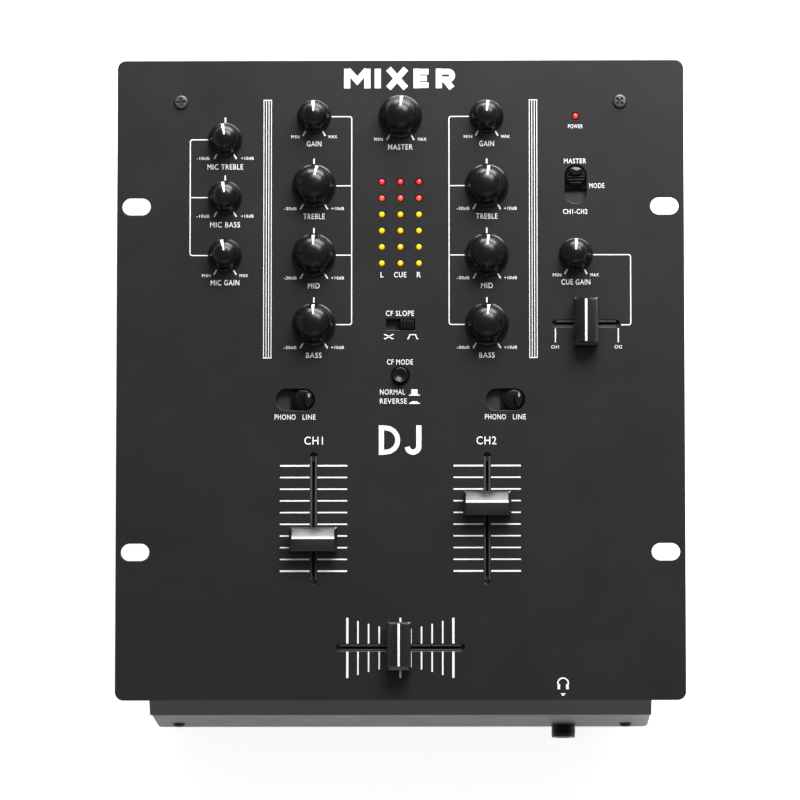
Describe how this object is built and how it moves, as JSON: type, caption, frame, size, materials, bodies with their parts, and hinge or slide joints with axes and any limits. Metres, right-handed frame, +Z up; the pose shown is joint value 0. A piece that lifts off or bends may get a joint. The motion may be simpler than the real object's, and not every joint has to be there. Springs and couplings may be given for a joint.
{
  "type": "dj mixer",
  "caption": "Two-channel tabletop scratch mixer with rack ears, rotary tone knobs, channel faders, a crossfader, level lamps and rear sockets.",
  "frame": {"origin": "on the surface under the feet, at the middle of the mixer's footprint", "axes": "+X to the user's right, -Y towards the user, +Z up out of the faceplate"},
  "size_m": [0.254, 0.2994, 0.1],
  "materials": {
    "black_paint": "satin black powder coat",
    "case_paint": "satin black powder coat",
    "knob_plastic": "gloss black moulding",
    "cap_plastic": "gloss black moulding with a light line",
    "switch_plastic": "satin black moulding",
    "button_plastic": "gloss black moulding",
    "dark_screw": "black oxide",
    "bare_steel": "zinc plated steel",
    "shaft_steel": "machined",
    "foot_rubber": "matte black",
    "board_green": "green solder mask",
    "socket_plastic": "matte black moulding",
    "red_lens": "tinted lens",
    "amber_lens": "tinted lens",
    "shell_metal": "nickel plated",
    "brass_post": "knurled, plated",
    "rear_paint": "satin black powder coat"
  },
  "bodies": {
    "mixer": {"faceplate": "black_paint", "chassis_tub": "case_paint", "rear_panel": "rear_paint", "faceplate_screws": "dark_screw", "case_screws": "dark_screw", "rubber_feet": "foot_rubber", "circuit_boards": "board_green", "board_standoffs": "bare_steel", "pot_bodies": "bare_steel", "fader_frames": "dark_screw", "switch_housings": "socket_plastic", "red_lamps": "red_lens", "amber_lamps": "amber_lens", "quarter_inch_jacks": "socket_plastic", "rca_shells": "shell_metal", "rca_blocks": "socket_plastic", "xlr_outputs": "socket_plastic", "ground_posts": "brass_post", "power_inlet": "socket_plastic", "rocker_housing": "socket_plastic"},
    "mic_treble_control": {"mic_treble_shaft": "shaft_steel", "mic_treble_knob": "knob_plastic"},
    "mic_bass_control": {"mic_bass_shaft": "shaft_steel", "mic_bass_knob": "knob_plastic"},
    "mic_gain_control": {"mic_gain_shaft": "shaft_steel", "mic_gain_knob": "knob_plastic"},
    "channel_1_gain_control": {"channel_1_gain_shaft": "shaft_steel", "channel_1_gain_knob": "knob_plastic"},
    "channel_1_treble_control": {"channel_1_treble_shaft": "shaft_steel", "channel_1_treble_knob": "knob_plastic"},
    "channel_1_mid_control": {"channel_1_mid_shaft": "shaft_steel", "channel_1_mid_knob": "knob_plastic"},
    "channel_1_bass_control": {"channel_1_bass_shaft": "shaft_steel", "channel_1_bass_knob": "knob_plastic"},
    "channel_2_gain_control": {"channel_2_gain_shaft": "shaft_steel", "channel_2_gain_knob": "knob_plastic"},
    "channel_2_treble_control": {"channel_2_treble_shaft": "shaft_steel", "channel_2_treble_knob": "knob_plastic"},
    "channel_2_mid_control": {"channel_2_mid_shaft": "shaft_steel", "channel_2_mid_knob": "knob_plastic"},
    "channel_2_bass_control": {"channel_2_bass_shaft": "shaft_steel", "channel_2_bass_knob": "knob_plastic"},
    "master_level_control": {"master_level_shaft": "shaft_steel", "master_level_knob": "knob_plastic"},
    "cue_gain_control": {"cue_gain_shaft": "shaft_steel", "cue_gain_knob": "knob_plastic"},
    "channel_1_fader_slider": {"channel_1_fader_carriage": "bare_steel", "channel_1_fader_cap": "cap_plastic"},
    "channel_2_fader_slider": {"channel_2_fader_carriage": "bare_steel", "channel_2_fader_cap": "cap_plastic"},
    "crossfader_slider": {"crossfader_carriage": "bare_steel", "crossfader_cap": "cap_plastic"},
    "cue_fader_slider": {"cue_fader_carriage": "bare_steel", "cue_fader_cap": "cap_plastic"},
    "channel_1_source_switch": {"channel_1_source_lever": "switch_plastic"},
    "channel_2_source_switch": {"channel_2_source_lever": "switch_plastic"},
    "cue_mode_switch": {"cue_mode_lever": "switch_plastic"},
    "crossfader_slope_switch": {"crossfader_slope_lever": "switch_plastic"},
    "reverse_push": {"reverse_button": "button_plastic"},
    "rocker_switch": {"power_rocker": "switch_plastic"}
  },
  "joints": [
    {"name": "mic_treble_turn", "type": "hinge", "parent": "mixer", "child": "mic_treble_control", "pos_m": [-0.0785, 0.1137, 0.086], "axis": [0, 0, -1], "range_deg": [-140, 160]},
    {"name": "mic_bass_turn", "type": "hinge", "parent": "mixer", "child": "mic_bass_control", "pos_m": [-0.0785, 0.0875, 0.086], "axis": [0, 0, -1], "range_deg": [-142, 158]},
    {"name": "mic_gain_turn", "type": "hinge", "parent": "mixer", "child": "mic_gain_control", "pos_m": [-0.0785, 0.0613, 0.086], "axis": [0, 0, -1], "range_deg": [-138, 162]},
    {"name": "channel_1_gain_turn", "type": "hinge", "parent": "mixer", "child": "channel_1_gain_control", "pos_m": [-0.0387, 0.1241, 0.086], "axis": [0, 0, -1], "range_deg": [-147, 153]},
    {"name": "channel_1_treble_turn", "type": "hinge", "parent": "mixer", "child": "channel_1_treble_control", "pos_m": [-0.0387, 0.09273, 0.086], "axis": [0, 0, -1], "range_deg": [-161, 139]},
    {"name": "channel_1_mid_turn", "type": "hinge", "parent": "mixer", "child": "channel_1_mid_control", "pos_m": [-0.0387, 0.06136, 0.086], "axis": [0, 0, -1], "range_deg": [-149, 151]},
    {"name": "channel_1_bass_turn", "type": "hinge", "parent": "mixer", "child": "channel_1_bass_control", "pos_m": [-0.0387, 0.02999, 0.086], "axis": [0, 0, -1], "range_deg": [-149, 151]},
    {"name": "channel_2_gain_turn", "type": "hinge", "parent": "mixer", "child": "channel_2_gain_control", "pos_m": [0.0387, 0.1241, 0.086], "axis": [0, 0, -1], "range_deg": [-156, 144]},
    {"name": "channel_2_treble_turn", "type": "hinge", "parent": "mixer", "child": "channel_2_treble_control", "pos_m": [0.0387, 0.09273, 0.086], "axis": [0, 0, -1], "range_deg": [-157, 143]},
    {"name": "channel_2_mid_turn", "type": "hinge", "parent": "mixer", "child": "channel_2_mid_control", "pos_m": [0.0387, 0.06136, 0.086], "axis": [0, 0, -1], "range_deg": [-156, 144]},
    {"name": "channel_2_bass_turn", "type": "hinge", "parent": "mixer", "child": "channel_2_bass_control", "pos_m": [0.0387, 0.02999, 0.086], "axis": [0, 0, -1], "range_deg": [-157, 143]},
    {"name": "master_level_turn", "type": "hinge", "parent": "mixer", "child": "master_level_control", "pos_m": [0, 0.1241, 0.086], "axis": [0, 0, -1], "range_deg": [-155, 145]},
    {"name": "cue_gain_turn", "type": "hinge", "parent": "mixer", "child": "cue_gain_control", "pos_m": [0.0785, 0.06136, 0.086], "axis": [0, 0, -1], "range_deg": [-152, 148]},
    {"name": "channel_1_fader_slide", "type": "slide", "parent": "mixer", "child": "channel_1_fader_slider", "axis": [0, 1, 0], "range_m": [-0.0124, 0.0326]},
    {"name": "channel_2_fader_slide", "type": "slide", "parent": "mixer", "child": "channel_2_fader_slider", "axis": [0, 1, 0], "range_m": [-0.0285, 0.0165]},
    {"name": "crossfader_slide", "type": "slide", "parent": "mixer", "child": "crossfader_slider", "axis": [1, 0, 0], "range_m": [-0.0219, 0.0231]},
    {"name": "cue_fader_slide", "type": "slide", "parent": "mixer", "child": "cue_fader_slider", "axis": [1, 0, 0], "range_m": [-0.01, 0.01]},
    {"name": "channel_1_source_slide", "type": "slide", "parent": "mixer", "child": "channel_1_source_switch", "axis": [1, 0, 0], "range_m": [-0.0074, 0]},
    {"name": "channel_2_source_slide", "type": "slide", "parent": "mixer", "child": "channel_2_source_switch", "axis": [1, 0, 0], "range_m": [-0.0074, 0]},
    {"name": "cue_mode_slide", "type": "slide", "parent": "mixer", "child": "cue_mode_switch", "axis": [0, 1, 0], "range_m": [-0.0074, 0]},
    {"name": "crossfader_slope_slide", "type": "slide", "parent": "mixer", "child": "crossfader_slope_switch", "axis": [1, 0, 0], "range_m": [-0.006, 0]},
    {"name": "reverse_press", "type": "slide", "parent": "mixer", "child": "reverse_push", "axis": [0, 0, -1], "range_m": [0, 0.0025], "stiffness_N_per_m": 200, "springref_m": -0.001},
    {"name": "power_rock", "type": "hinge", "parent": "mixer", "child": "rocker_switch", "pos_m": [0.097, 0.1402, 0.058], "axis": [1, 0, 0], "range_deg": [0, 16]}
  ]
}
